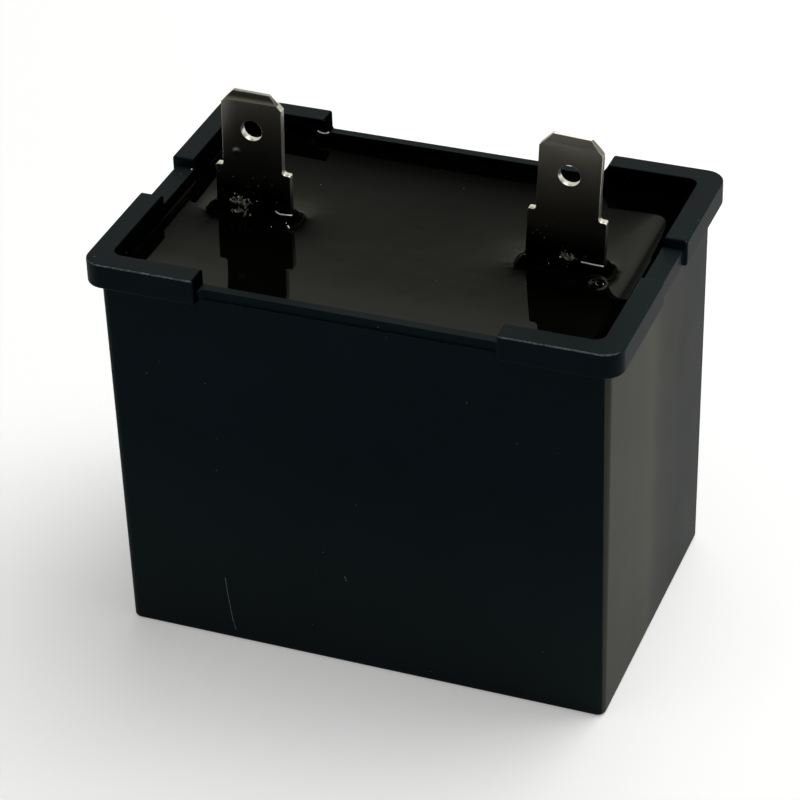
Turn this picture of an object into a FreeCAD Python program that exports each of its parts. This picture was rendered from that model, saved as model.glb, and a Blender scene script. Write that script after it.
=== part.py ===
import FreeCAD, Part
import math
import os

# Boxed film capacitor for running a motor: a moulded case, filled with casting resin,
# with two push-on tabs that stand out of the resin.
# Sizes are in millimetres. X is along the case, Y is across it with the front at -Y, Z is up.
# The origin is the middle of the underside.

# Case
rim_length = 54.0
rim_width = 35.9
case_height = 43.3
rim_height = 2.7
rim_overhang = 1.3
rim_corner_radius = 2.0
body_corner_radius = 0.9
body_draft = 0.35
wall_thickness = 1.15
floor_thickness = 1.6
cavity_corner_radius = 1.0
rim_edge_radius = 0.25
foot_edge_radius = 0.4

# Gaps that leave the rim as four corner pieces
long_gap_length = 30.4
front_gap_depth = 1.65
back_gap_depth = 1.25
front_gap_lean = 0.0
back_gap_lean = 0.65
gap_upright_share = 0.3
parting_step = 0.2
long_gap_fillet = 0.9
short_gap_fillet = 0.18
short_gap_length = 7.5
short_gap_depth = 1.0
short_gap_setback = 0.45

# Casting resin
resin_below_rim = 2.9
wall_creep_height = 0.6
wall_creep_width = 0.9
wall_creep_lip = 0.1
tab_creep_height = 0.9
tab_creep_width = 1.1
tab_creep_lip = 0.15

# Terminals, stamped from one sheet of brass and tinned
tab_width = 6.3
tab_thickness = 0.8
tab_length = 8.5
tab_corner_across = 1.25
tab_corner_along = 1.4
tab_tip_thickness = 0.4
tab_bevel_length = 0.9
tab_hole_diameter = 2.2
tab_hole_height = 4.4
shoulder_width = 7.9
shoulder_edge_radius = 0.2
shoulder_relief_radius = 0.3
terminal_depth = 3.6
left_terminal_inset = 10.6
left_shoulder_height = 5.4
left_lean = 1.5
right_terminal_inset = 11.1
right_shoulder_height = 6.1
right_lean = 3.0

# Room that the resin fills round the wound film element, and the sprayed metal on its ends
winding_end_gap = 3.55
winding_side_gap = 2.5
winding_floor_gap = 2.0
winding_top_gap = 1.7
winding_corner_radius = 11.7
spray_thickness = 0.5

# Leads from the sprayed ends to the terminals
lead_diameter = 1.0
lead_bend_radius = 1.6
lead_overlap = 3.6
lead_above_foot = 1.7
lead_end_height = 14.0
solder_film = 0.1
terminal_solder_radius = 1.4
terminal_solder_height = 1.35
solder_flank = 0.45
spray_solder_radius = 2.4
spray_solder_height = 1.6
spray_solder_above_end = 2.8

# Levels, places and sizes worked out from the sizes above
rim_underside = case_height - rim_height
resin_level = case_height - resin_below_rim
body_length = rim_length - 2 * rim_overhang
body_width = rim_width - 2 * rim_overhang
cavity_length = body_length - 2 * wall_thickness
cavity_width = body_width - 2 * wall_thickness
draft_slope = math.tan(math.radians(body_draft))
left_terminal_x = left_terminal_inset - rim_length / 2
right_terminal_x = rim_length / 2 - right_terminal_inset
terminal_foot = resin_level - terminal_depth
winding_length = cavity_length - 2 * winding_end_gap
winding_thickness = cavity_width - 2 * winding_side_gap
winding_bottom = floor_thickness + winding_floor_gap
winding_top = terminal_foot - winding_top_gap
tab_back_face = tab_thickness / 2
spray_face = winding_length / 2 + spray_thickness
lead_level = terminal_foot + lead_above_foot
lead_plane = tab_back_face + solder_film + lead_diameter / 2
lead_drop_x = spray_face + solder_film + lead_diameter / 2
lead_end = winding_bottom + lead_end_height

# Cutting tools run this far past the solid, and fillets take at most this share of their room
clear = 10.0
fillet_share = 0.9


def rounded_frustum(low_size, high_size, radius, low, high):
    """Block with flat sides and round corners, with a length and width of its own at each end."""
    low_x, low_y = low_size[0] / 2, low_size[1] / 2
    high_x, high_y = high_size[0] / 2, high_size[1] / 2
    block = Part.makeWedge(-low_x, low, -low_y, -high_y, -high_x, low_x, high, low_y, high_y, high_x)
    block.rotate(FreeCAD.Vector(0, 0, 0), FreeCAD.Vector(1, 0, 0), 90)
    corners = [edge for edge in block.Edges if edge.BoundBox.ZLength > (high - low) / 2]
    return block.makeFillet(radius, corners)


def box(x_low, x_high, y_low, y_high, z_low, z_high):
    corner = FreeCAD.Vector(x_low, y_low, z_low)
    return Part.makeBox(x_high - x_low, y_high - y_low, z_high - z_low, corner)


def edges_at_height(shape, height, tolerance=1e-4):
    """Edges that lie flat at one height."""
    found = []
    for edge in shape.Edges:
        span = edge.BoundBox
        if abs(span.ZMin - height) < tolerance and abs(span.ZMax - height) < tolerance:
            found.append(edge)
    return found


def upright_edges(shape, test):
    """Edges that run up the shape, nearly straight, and whose middle passes a test of X and Y."""
    found = []
    for edge in shape.Edges:
        span = edge.BoundBox
        if span.ZLength < 20 * max(span.XLength, span.YLength):
            continue
        if test(span.Center.x, span.Center.y):
            found.append(edge)
    return found


def fillet_radius(wanted, room):
    return min(wanted, fillet_share * room)


def cavity_size(height):
    """Length and width of the inside of the case at one height: it widens upwards."""
    widening = 2 * draft_slope * (height - rim_underside)
    return cavity_length + widening, cavity_width + widening


def cavity_block():
    """The inside of the case, which the resin fills."""
    return rounded_frustum(cavity_size(floor_thickness), cavity_size(case_height),
                           cavity_corner_radius, floor_thickness, case_height)


def case_body():
    loss = 2 * draft_slope * rim_underside
    body = rounded_frustum((body_length - loss, body_width - loss), (body_length, body_width),
                           body_corner_radius, 0, rim_underside)
    radius = fillet_radius(foot_edge_radius, body_corner_radius)
    return body.makeFillet(radius, edges_at_height(body, 0))


def lowering_block(half, lean, outer, depth):
    """Block above the lowered wall. Its ends lean outwards as they rise, and end upright."""
    low = case_height - depth
    bend = case_height - gap_upright_share * depth
    high = case_height + clear
    right = [(half - lean, low), (half, bend), (half, high)]
    left = [(-x, z) for x, z in reversed(right)]
    corners = [FreeCAD.Vector(x, 0, z) for x, z in right + left]
    face = Part.Face(Part.makePolygon(corners + corners[:1]))
    return face.extrude(FreeCAD.Vector(0, outer, 0)).removeSplitter()


def gap_tool(gap_length, rim_face, setback, wanted_fillet, depth, lean):
    """Sets the rim back from its face between round corners, and lowers the wall by the depth."""
    half = gap_length / 2
    inner = rim_face - setback
    outer = rim_face + clear
    above = case_height + clear
    flared = half + 2 * rim_edge_radius
    tool = box(-half, half, inner, outer, rim_underside, above)
    tool = tool.fuse(box(-flared, flared, rim_face, outer, rim_underside, above))
    inner_corners = upright_edges(tool, lambda x, y: abs(y - inner) < 1e-4)
    tool = tool.makeFillet(fillet_radius(wanted_fillet, setback - rim_edge_radius), inner_corners)
    mouth = upright_edges(tool, lambda x, y: abs(abs(x) - half) + abs(y - rim_face) < 1e-4)
    tool = tool.makeFillet(rim_edge_radius, mouth)
    return tool.fuse(lowering_block(half, lean, outer, depth))


def turned(shape, degrees):
    copy = shape.copy()
    copy.rotate(FreeCAD.Vector(0, 0, 0), FreeCAD.Vector(0, 0, 1), degrees)
    return copy


def long_gap(depth, lean):
    """Gap in a long side: the rim goes, and the wall behind it stays a little lower."""
    setback = rim_overhang + parting_step
    return gap_tool(long_gap_length, rim_width / 2, setback, long_gap_fillet, depth, lean)


def short_gap():
    """Gap in a short side: a shallow notch, with the rim below it set back."""
    return gap_tool(short_gap_length, rim_length / 2, short_gap_setback, short_gap_fillet,
                    short_gap_depth, 0.0)


def make_case():
    rim_size = (rim_length, rim_width)
    rim = rounded_frustum(rim_size, rim_size, rim_corner_radius, rim_underside, case_height)
    rim = rim.makeFillet(rim_edge_radius, edges_at_height(rim, rim_underside))
    for depth, lean, angle in ((back_gap_depth, back_gap_lean, 0), (front_gap_depth, front_gap_lean, 180)):
        rim = rim.cut(turned(long_gap(depth, lean), angle))
    for angle in (90, -90):
        rim = rim.cut(turned(short_gap(), angle))
    case = rim.fuse(case_body()).cut(cavity_block())
    return case.makeFillet(rim_edge_radius, edges_at_height(case, case_height))


def terminal_profile(shoulder_height):
    """Front view of the blank, with Z = 0 where it leaves the resin."""
    tip = shoulder_height + tab_length
    right = [(shoulder_width / 2, -terminal_depth),
             (shoulder_width / 2, shoulder_height),
             (tab_width / 2, shoulder_height),
             (tab_width / 2, tip - tab_corner_along),
             (tab_width / 2 - tab_corner_across, tip)]
    left = [(-x, z) for x, z in reversed(right)]
    points = [FreeCAD.Vector(x, -tab_thickness / 2, z) for x, z in right + left]
    outline = Part.makePolygon(points + points[:1])
    return Part.Face(outline).extrude(FreeCAD.Vector(0, tab_thickness, 0))


def terminal_side(shoulder_height):
    """Side view: full thickness, thinned to a lead-in at the tip."""
    tip = shoulder_height + tab_length
    half = tab_thickness / 2
    right = [(half, -terminal_depth), (half, tip - tab_bevel_length), (tab_tip_thickness / 2, tip)]
    left = [(-y, z) for y, z in reversed(right)]
    points = [FreeCAD.Vector(-shoulder_width / 2, y, z) for y, z in right + left]
    outline = Part.makePolygon(points + points[:1])
    return Part.Face(outline).extrude(FreeCAD.Vector(shoulder_width, 0, 0))


def thickness_edges(shape, half_width, height):
    """Edges through the sheet's thickness at one place of its outline, and at the mirrored one."""
    found = []
    for edge in shape.Edges:
        middle = edge.BoundBox.Center
        at_place = abs(abs(middle.x) - half_width) < 1e-4 and abs(middle.z - height) < 1e-4
        if at_place and edge.BoundBox.YLength > tab_thickness / 2:
            found.append(edge)
    return found


def make_terminal(x, shoulder_height, lean):
    blank = terminal_profile(shoulder_height)
    half_step = (shoulder_width - tab_width) / 4
    corners = thickness_edges(blank, shoulder_width / 2, shoulder_height)
    blank = blank.makeFillet(fillet_radius(shoulder_edge_radius, half_step), corners)
    corners = thickness_edges(blank, tab_width / 2, shoulder_height)
    blank = blank.makeFillet(fillet_radius(shoulder_relief_radius, half_step), corners)
    across = FreeCAD.Vector(0, 1, 0)
    start = FreeCAD.Vector(0, -tab_thickness, shoulder_height + tab_hole_height)
    hole = Part.makeCylinder(tab_hole_diameter / 2, 2 * tab_thickness, start, across)
    terminal = blank.common(terminal_side(shoulder_height)).cut(hole)
    terminal.rotate(FreeCAD.Vector(0, 0, 0), across, lean)
    terminal.translate(FreeCAD.Vector(x, 0, resin_level))
    return terminal


def flattened_roll(start_x, end_x):
    """Slice of a roll that was pressed between plates: flat sides and wide round corners."""
    half_thickness = winding_thickness / 2
    low_x, high_x = sorted((start_x, end_x))
    block = box(low_x, high_x, -half_thickness, half_thickness, winding_bottom, winding_top)
    corners = [edge for edge in block.Edges if edge.BoundBox.XLength > 1e-3]
    room = min(half_thickness, (winding_top - winding_bottom) / 2)
    return block.makeFillet(fillet_radius(winding_corner_radius, room), corners)


def make_winding():
    return flattened_roll(-winding_length / 2, winding_length / 2)


def make_spray(side):
    return flattened_roll(side * winding_length / 2, side * spray_face)


def make_lead(side, terminal_x):
    """Round lead: along the back of the terminal, over the edge and down the sprayed end."""
    start = FreeCAD.Vector(terminal_x - side * lead_overlap / 2, lead_plane, lead_level)
    bend_x = side * (lead_drop_x - lead_bend_radius)
    section = Part.Face(Part.Wire(Part.makeCircle(lead_diameter / 2, start, FreeCAD.Vector(1, 0, 0))))
    along = section.extrude(FreeCAD.Vector(bend_x - start.x, 0, 0))
    section.translate(FreeCAD.Vector(bend_x - start.x, 0, 0))
    centre = FreeCAD.Vector(bend_x, lead_plane, lead_level - lead_bend_radius)
    bend = section.revolve(centre, FreeCAD.Vector(0, side, 0), 90)
    section.rotate(centre, FreeCAD.Vector(0, side, 0), 90)
    down = section.extrude(FreeCAD.Vector(0, 0, lead_end - centre.z))
    return along.fuse([bend, down])


def solder_cone(seat, direction, radius, height):
    """Low cone of solder that stands on a flat face."""
    return Part.makeCone(radius, radius - solder_flank * height, height, seat, direction)


def make_terminal_solder(terminal_x, lead):
    seat = FreeCAD.Vector(terminal_x, tab_back_face, lead_level)
    backwards = FreeCAD.Vector(0, 1, 0)
    return solder_cone(seat, backwards, terminal_solder_radius, terminal_solder_height).cut(lead)


def make_spray_solder(side, lead):
    seat = FreeCAD.Vector(side * spray_face, lead_plane, lead_end + spray_solder_above_end)
    outwards = FreeCAD.Vector(side, 0, 0)
    return solder_cone(seat, outwards, spray_solder_radius, spray_solder_height).cut(lead)


def room_above_resin():
    """Its sloping foot leaves the resin crept up the walls."""
    creep_level = resin_level + wall_creep_height
    low_size = [size - 2 * wall_creep_width for size in cavity_size(resin_level)]
    high_size = [size - 2 * wall_creep_lip for size in cavity_size(creep_level)]
    foot = rounded_frustum(low_size, high_size, cavity_corner_radius, resin_level, creep_level)
    room = box(-rim_length, rim_length, -rim_width, rim_width, creep_level, case_height + clear)
    return foot.fuse(room)


def tab_creep(terminal_x):
    """Skirt of resin that crept up the foot of a tab."""
    foot_size = (shoulder_width + 2 * tab_creep_width, tab_thickness + 2 * tab_creep_width)
    lip_size = (shoulder_width + 2 * tab_creep_lip, tab_thickness + 2 * tab_creep_lip)
    radius = fillet_radius(tab_creep_width, lip_size[1] / 2)
    skirt = rounded_frustum(foot_size, lip_size, radius, resin_level, resin_level + tab_creep_height)
    skirt.translate(FreeCAD.Vector(terminal_x, 0, 0))
    return skirt


def make_resin(embedded):
    """Everything in the cavity below the resin's surface that no other piece takes up."""
    resin = cavity_block().cut(room_above_resin())
    for terminal_x in (left_terminal_x, right_terminal_x):
        resin = resin.fuse(tab_creep(terminal_x))
    for piece in embedded:
        resin = resin.cut(piece)
    return resin


def build():
    parts = {"case": make_case()}
    parts["terminal_left"] = make_terminal(left_terminal_x, left_shoulder_height, left_lean)
    parts["terminal_right"] = make_terminal(right_terminal_x, right_shoulder_height, right_lean)
    parts["film_winding"] = make_winding()
    for side, name, terminal_x in ((-1, "left", left_terminal_x), (1, "right", right_terminal_x)):
        lead = make_lead(side, terminal_x)
        parts["end_spray_" + name] = make_spray(side)
        parts["lead_" + name] = lead
        parts["terminal_solder_" + name] = make_terminal_solder(terminal_x, lead)
        parts["spray_solder_" + name] = make_spray_solder(side, lead)
    embedded = [shape for name, shape in parts.items() if name != "case"]
    parts["potting_resin"] = make_resin(embedded)
    return parts


os.makedirs("parts", exist_ok=True)
for node, shape in build().items():
    shape.exportStep("parts/" + node + ".step")
    print(node, "solids", len(shape.Solids), "valid", shape.isValid(), "volume", round(shape.Volume, 1))
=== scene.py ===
# %% [markdown]
# # A boxed motor run capacitor
# The real object is a black moulded case that is open at the top. A wound film element stands in
# it, and casting resin fills the rest. Two push-on tabs stand out of the resin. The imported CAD
# model gives every size and place, and this script dresses it: finer edges, a resin surface that
# creeps up what it touches, tinned tabs, flux and dust, and a material for each piece.

# %% Load the frame
import math
import random
import bmesh
import bpy
import numpy as np
from mathutils import Matrix, Vector, noise
from mathutils.bvhtree import BVHTree


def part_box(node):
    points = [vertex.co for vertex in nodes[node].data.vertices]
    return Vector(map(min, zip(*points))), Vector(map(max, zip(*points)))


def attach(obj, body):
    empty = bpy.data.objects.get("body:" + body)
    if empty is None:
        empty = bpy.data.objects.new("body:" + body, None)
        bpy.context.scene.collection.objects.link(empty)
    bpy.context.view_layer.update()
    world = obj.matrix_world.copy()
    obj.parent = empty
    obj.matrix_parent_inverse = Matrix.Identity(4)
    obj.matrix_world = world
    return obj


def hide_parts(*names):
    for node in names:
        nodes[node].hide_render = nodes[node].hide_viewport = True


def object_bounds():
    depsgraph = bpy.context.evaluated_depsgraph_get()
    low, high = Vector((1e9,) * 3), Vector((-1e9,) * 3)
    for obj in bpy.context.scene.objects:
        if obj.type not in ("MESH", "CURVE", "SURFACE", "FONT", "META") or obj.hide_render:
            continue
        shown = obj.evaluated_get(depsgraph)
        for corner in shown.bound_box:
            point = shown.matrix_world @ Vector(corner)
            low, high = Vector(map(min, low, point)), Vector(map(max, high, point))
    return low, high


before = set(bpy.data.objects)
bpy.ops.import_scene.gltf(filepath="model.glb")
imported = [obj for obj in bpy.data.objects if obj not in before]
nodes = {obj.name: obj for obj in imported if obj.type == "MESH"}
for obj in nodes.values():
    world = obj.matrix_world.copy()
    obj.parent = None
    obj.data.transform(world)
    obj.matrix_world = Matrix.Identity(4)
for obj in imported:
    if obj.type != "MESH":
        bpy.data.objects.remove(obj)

cad_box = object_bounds()
print("CAD nodes:", sorted(nodes))

# %% [markdown]
# Blender works in metres, and the sizes of this part are easier to read in millimetres. So every
# length below is written in millimetres and multiplied by `MM` where it goes into a mesh, a
# light or a material.

# %% Units
MM = 0.001
IMAGE_SIDE = 800
SENSOR = 36.0
print("lengths in mm, times", MM)

# %% [markdown]
# ## The camera
# The camera stands where the photograph was taken from: solved from the case's own edges, a long
# lens, about 32 cm away, looking down at a third of a right angle. A camera can be placed by
# hand, but a matrix built from where it looks and how far it is rolled repeats exactly.

# %% Camera
camera_place = Vector((96.31344, -245.58464, 196.09666))
camera_looks = Vector((-0.30872241, 0.77516569, -0.55118837))
camera_roll = math.radians(1.7650)
focal_pixels = 3128.717
centre_pixel = (400.794, 400.632)

level_right = camera_looks.cross(Vector((0, 0, 1))).normalized()
level_up = level_right.cross(camera_looks)
camera_up = level_up * math.cos(camera_roll) + level_right * math.sin(camera_roll)
camera_right = camera_looks.cross(camera_up)
camera_turn = Matrix((camera_right, camera_up, -camera_looks)).transposed()

camera = bpy.data.objects.new("camera", bpy.data.cameras.new("camera"))
camera.data.sensor_width = SENSOR
camera.data.lens = focal_pixels / IMAGE_SIDE * SENSOR
camera.data.shift_x = (IMAGE_SIDE / 2 - centre_pixel[0]) / IMAGE_SIDE
camera.data.shift_y = (centre_pixel[1] - IMAGE_SIDE / 2) / IMAGE_SIDE
camera.data.clip_start = 0.01
camera.data.clip_end = 20
camera.matrix_world = Matrix.Translation(camera_place * MM) @ camera_turn.to_4x4()
bpy.context.scene.collection.objects.link(camera)
bpy.context.scene.camera = camera
bpy.context.scene.view_settings.view_transform = "Standard"
print("lens", round(camera.data.lens, 2), "mm")


# %% [markdown]
# ## Helpers for materials
# Colours are given as hex codes of a screen, which are not linear, so one function turns them
# into the linear values that a shader expects. A second function adds any node, with its settings
# and its inputs. A value in the inputs is either a plain value or the socket to link from.

# %% Colour and node helpers
def srgb(code):
    """Linear colour, with alpha, of a hex code."""
    parts = [int(code[i:i + 2], 16) / 255 for i in (1, 3, 5)]
    return tuple(c / 12.92 if c <= 0.04045 else ((c + 0.055) / 1.055) ** 2.4
                 for c in parts) + (1.0,)


def add_node(tree, kind, inputs=None, **settings):
    """Adds a node with settings, and with inputs that are values or sockets to link from."""
    node = tree.nodes.new(kind)
    for name, value in settings.items():
        setattr(node, name, value)
    for name, value in (inputs or {}).items():
        if isinstance(value, bpy.types.NodeSocket):
            tree.links.new(value, node.inputs[name])
        else:
            node.inputs[name].default_value = value
    return node


def new_material(name, **values):
    """A material with a Principled shader, its plain values, and Object coordinates."""
    material = bpy.data.materials.new(name)
    material.use_nodes = True
    tree = material.node_tree
    tree.nodes.clear()
    shader = add_node(tree, "ShaderNodeBsdfPrincipled")
    for socket, value in values.items():
        shader.inputs[socket.replace("_", " ")].default_value = value
    add_node(tree, "ShaderNodeOutputMaterial", {"Surface": shader.outputs["BSDF"]})
    place = add_node(tree, "ShaderNodeTexCoord").outputs["Object"]
    return material, tree, shader, place


def per_mm(size):
    """Noise scale that gives features of this size in millimetres."""
    return 1 / (size * MM)


# %% [markdown]
# ## Case plastic: glass-filled polyester, moulded in an eroded tool
# The case is a black thermoplastic polyester, moulded in a tool whose walls were spark eroded.
# That gives the eye three things: a very dark blue-black, a fine even grain of about a quarter
# of a millimetre, and broad soft waves down the walls where the plastic shrank. A flat black
# would lose all three. So the colour and the roughness drift with slow noise, one bump carries
# the grain, and one more, stretched upwards, carries the waves.

# %% Case plastic
grain_size, grain_depth = 0.22, 0.012
wave_size, wave_depth, wave_squeeze = 7.0, 0.05, 0.12
case_drift = 9.0
case_rough_low, case_rough_high = 0.42, 0.52
case_gloss = 0.035

case_plastic, tree, shader, place = new_material(
    "polyester_black_moulded", IOR=1.5, Specular_IOR_Level=case_gloss,
    Specular_Tint=(0.45, 0.9, 1.0, 1.0))
drift = add_node(tree, "ShaderNodeTexNoise", {
    "Vector": place, "Scale": per_mm(case_drift), "Detail": 3.0})
grain = add_node(tree, "ShaderNodeTexNoise", {
    "Vector": place, "Scale": per_mm(grain_size), "Detail": 2.0, "Roughness": 0.6})
colour = add_node(tree, "ShaderNodeMix", {
    "Factor": drift.outputs["Fac"], "A": srgb("#070f13"), "B": srgb("#0c151a")},
    data_type="RGBA")
gloss = add_node(tree, "ShaderNodeMapRange", {
    "Value": drift.outputs["Fac"], "To Min": case_rough_low, "To Max": case_rough_high})
stretched = add_node(tree, "ShaderNodeMapping", {
    "Vector": place, "Scale": (1.0, 1.0, wave_squeeze)})
waves = add_node(tree, "ShaderNodeTexNoise", {
    "Vector": stretched.outputs["Vector"], "Scale": per_mm(wave_size), "Detail": 1.0})
wave_bump = add_node(tree, "ShaderNodeBump", {
    "Height": waves.outputs["Fac"], "Distance": wave_depth * MM})
grain_bump = add_node(tree, "ShaderNodeBump", {
    "Height": grain.outputs["Fac"], "Distance": grain_depth * MM,
    "Normal": wave_bump.outputs["Normal"]})
tree.links.new(gloss.outputs["Result"], shader.inputs["Roughness"])
tree.links.new(grain_bump.outputs["Normal"], shader.inputs["Normal"])
print(case_plastic.name, "grain", grain_size, "mm, waves", wave_size, "mm")

# %% [markdown]
# The right side of the case is mixed paler, a painted sheen that stands in for the light it
# catches, strongest two fifths of the way back. A ramp along the side gives it: it reads Object
# coordinates, and is cut off above the parting line and off the other sides.

# %% Painted sheen on the right side
sheen_stops = ((0.0, 0.74), (0.30, 0.80), (0.42, 1.0), (0.50, 0.62), (0.60, 0.42), (0.72, 0.26),
              (1.0, 0.2))
sheen_start, sheen_top, sheen_half_width = 25.2, 40.3, 16.6


def fill_ramp(ramp, stops):
    """Gives a colour ramp grey stops of position and level."""
    elements = ramp.color_ramp.elements
    for position, level in stops[1:-1]:
        elements.new(position)
    for element, (position, level) in zip(elements, stops):
        element.position = position
        element.color = (level, level, level, 1.0)


spot = add_node(tree, "ShaderNodeSeparateXYZ", {"Vector": place})
along_side = add_node(tree, "ShaderNodeMapRange", {
    "Value": spot.outputs["Y"], "From Min": -sheen_half_width * MM,
    "From Max": sheen_half_width * MM})
sheen_ramp = add_node(tree, "ShaderNodeValToRGB", {"Fac": along_side.outputs["Result"]})
fill_ramp(sheen_ramp, sheen_stops)
on_right = add_node(tree, "ShaderNodeMath", {
    0: spot.outputs["X"], 1: sheen_start * MM}, operation="GREATER_THAN")
below_rim = add_node(tree, "ShaderNodeMath", {
    0: spot.outputs["Z"], 1: sheen_top * MM}, operation="LESS_THAN")
there = add_node(tree, "ShaderNodeMath", {
    0: on_right.outputs[0], 1: below_rim.outputs[0]}, operation="MULTIPLY")
sheen = add_node(tree, "ShaderNodeMath", {
    0: sheen_ramp.outputs["Color"], 1: there.outputs[0]}, operation="MULTIPLY")
# painted sheen: the right side mixed paler for the light it catches
sheened = add_node(tree, "ShaderNodeMix", {
    "Factor": sheen.outputs[0], "A": colour.outputs["Result"], "B": srgb("#494840")},
    data_type="RGBA")
print("film on the right side, up to", sheen_top, "mm")

# %% [markdown]
# The rounded edges get a painted highlight: a paler colour that stands in for the light they
# catch. The strips that the rounding makes are marked by an attribute of the mesh, and the rim's
# own upper fillets are found by the way they face. The highlight is patchy, shows only on what
# faces out of the case, and nearly all of it at the front, so the edges are multiplied by all
# three.

# %% Painted highlights on the edges
patch_low, patch_high, patch_least = 0.35, 0.7, 0.25
front_starts, front_full, front_least = -0.25, -0.6, 0.04
fillet_starts, fillet_full, fillet_fades, fillet_ends = 0.25, 0.55, 0.85, 0.96
outer_depth = 6.0

highlit = add_node(tree, "ShaderNodeAttribute", attribute_name="rounded")
highlight_patches = add_node(tree, "ShaderNodeMapRange", {
    "Value": grain.outputs["Fac"], "From Min": patch_low, "From Max": patch_high,
    "To Min": patch_least, "To Max": 1.0})
normal = add_node(tree, "ShaderNodeNewGeometry").outputs["Normal"]
facing = add_node(tree, "ShaderNodeSeparateXYZ", {"Vector": normal})
to_front = add_node(tree, "ShaderNodeMapRange", {
    "Value": facing.outputs["Y"], "From Min": front_starts, "From Max": front_full,
    "To Min": front_least, "To Max": 1.0})
tipped = add_node(tree, "ShaderNodeMapRange", {
    "Value": facing.outputs["Z"], "From Min": fillet_starts, "From Max": fillet_full})
not_level = add_node(tree, "ShaderNodeMapRange", {
    "Value": facing.outputs["Z"], "From Min": fillet_ends, "From Max": fillet_fades})
filleted = add_node(tree, "ShaderNodeMath", {
    0: tipped.outputs["Result"], 1: not_level.outputs["Result"]}, operation="MULTIPLY")
edge = add_node(tree, "ShaderNodeMath", {
    0: highlit.outputs["Fac"], 1: filleted.outputs[0]}, operation="MAXIMUM")
edge_highlight = add_node(tree, "ShaderNodeMath", {
    0: edge.outputs[0], 1: highlight_patches.outputs["Result"]}, operation="MULTIPLY")
sideways = add_node(tree, "ShaderNodeVectorMath", {
    0: place, 1: (1.0, 1.0, 0.0)}, operation="MULTIPLY")
outward = add_node(tree, "ShaderNodeVectorMath", {
    0: sideways.outputs["Vector"], 1: normal}, operation="DOT_PRODUCT")
outer = add_node(tree, "ShaderNodeMapRange", {
    "Value": outward.outputs["Value"], "From Min": 0.0, "From Max": outer_depth * MM})
outer_highlight = add_node(tree, "ShaderNodeMath", {
    0: edge_highlight.outputs[0], 1: outer.outputs["Result"]}, operation="MULTIPLY")
front_highlight = add_node(tree, "ShaderNodeMath", {
    0: outer_highlight.outputs[0], 1: to_front.outputs["Result"]}, operation="MULTIPLY")
# painted highlight: the outer front edges mixed paler
edged = add_node(tree, "ShaderNodeMix", {
    "Factor": front_highlight.outputs[0], "A": sheened.outputs["Result"], "B": srgb("#70797e")},
    data_type="RGBA")
print("rubbed edges, at least", front_least, "away from the front")

# %% [markdown]
# What faces up is mixed paler, for fine settled dust and painted light from above, and the foot
# of the walls is mixed paler as a painted reflection of the floor. The walls inside see only the
# resin and each other, so there the plastic gets painted shade, darker, and has no gloss, which
# also keeps a false bright line off the resin's edge.

# %% Dust and painted light on tops and feet, painted shade inside
top_starts, top_full, top_most = 0.85, 0.98, 0.125
foot_top, foot_low, foot_most = 26.0, 2.0, 0.11
inner_starts, inner_full, inner_most = -5.0, -10.0, 0.92
inner_matte = 0.9

# dust and painted light from above: what faces up is mixed paler
top_dust_and_light = add_node(tree, "ShaderNodeMapRange", {
    "Value": facing.outputs["Z"], "From Min": top_starts, "From Max": top_full,
    "To Max": top_most})
# painted reflection of the floor: paler towards the foot of the walls
foot_reflection = add_node(tree, "ShaderNodeMapRange", {
    "Value": spot.outputs["Z"], "From Min": foot_top * MM, "From Max": foot_low * MM,
    "To Max": foot_most})
dust_and_light = add_node(tree, "ShaderNodeMath", {
    0: top_dust_and_light.outputs["Result"], 1: foot_reflection.outputs["Result"]}, operation="MAXIMUM")
dusted_and_lit = add_node(tree, "ShaderNodeMix", {
    "Factor": dust_and_light.outputs[0], "A": edged.outputs["Result"], "B": srgb("#40433f")},
    data_type="RGBA")
# painted shade on the walls inside, which also takes their gloss away
inner_shade = add_node(tree, "ShaderNodeMapRange", {
    "Value": outward.outputs["Value"], "From Min": inner_starts * MM,
    "From Max": inner_full * MM, "To Max": inner_most})
shaded_inside = add_node(tree, "ShaderNodeMix", {
    "Factor": inner_shade.outputs["Result"], "A": dusted_and_lit.outputs["Result"], "B": srgb("#020203")},
    data_type="RGBA")
level = add_node(tree, "ShaderNodeMapRange", {
    "Value": inner_shade.outputs["Result"], "From Max": inner_matte, "To Min": case_gloss,
    "To Max": 0.0})
tree.links.new(shaded_inside.outputs["Result"], shader.inputs["Base Color"])
tree.links.new(level.outputs["Result"], shader.inputs["Specular IOR Level"])
print(case_plastic.name, "nodes", len(tree.nodes))

# %% [markdown]
# ## Casting resin: filled epoxy, poured and cured
# Poured resin levels itself and cures with a skin as smooth as glass. It is nearly black, with a
# little brown, and what the eye sees is mostly the room in it. So the shader is a very smooth
# dielectric, with an index a little under that of clear epoxy. Slow noise gives the skin its
# faint brown clouds, and a second noise dulls it a little where it has been touched. Where the
# resin crept up the walls and the tabs its skin is dull, so the gloss falls as the surface turns
# away from level, except round the burst bubble, which shines.

# %% Resin
resin_gloss, crept_gloss = 0.156, 0.012
level_facing, crept_facing = 0.993, 0.965
resin_rough_low, resin_rough_high = 0.02, 0.06
haze_low, haze_high = 0.35, 0.75
cloud_size, haze_size, ripple_size, ripple_depth = 14.0, 5.0, 3.0, 0.004
bubble_place = (19.8, -2.35, 40.5)
bubble_shine, bubble_shine_end = 1.15, 1.4

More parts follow.
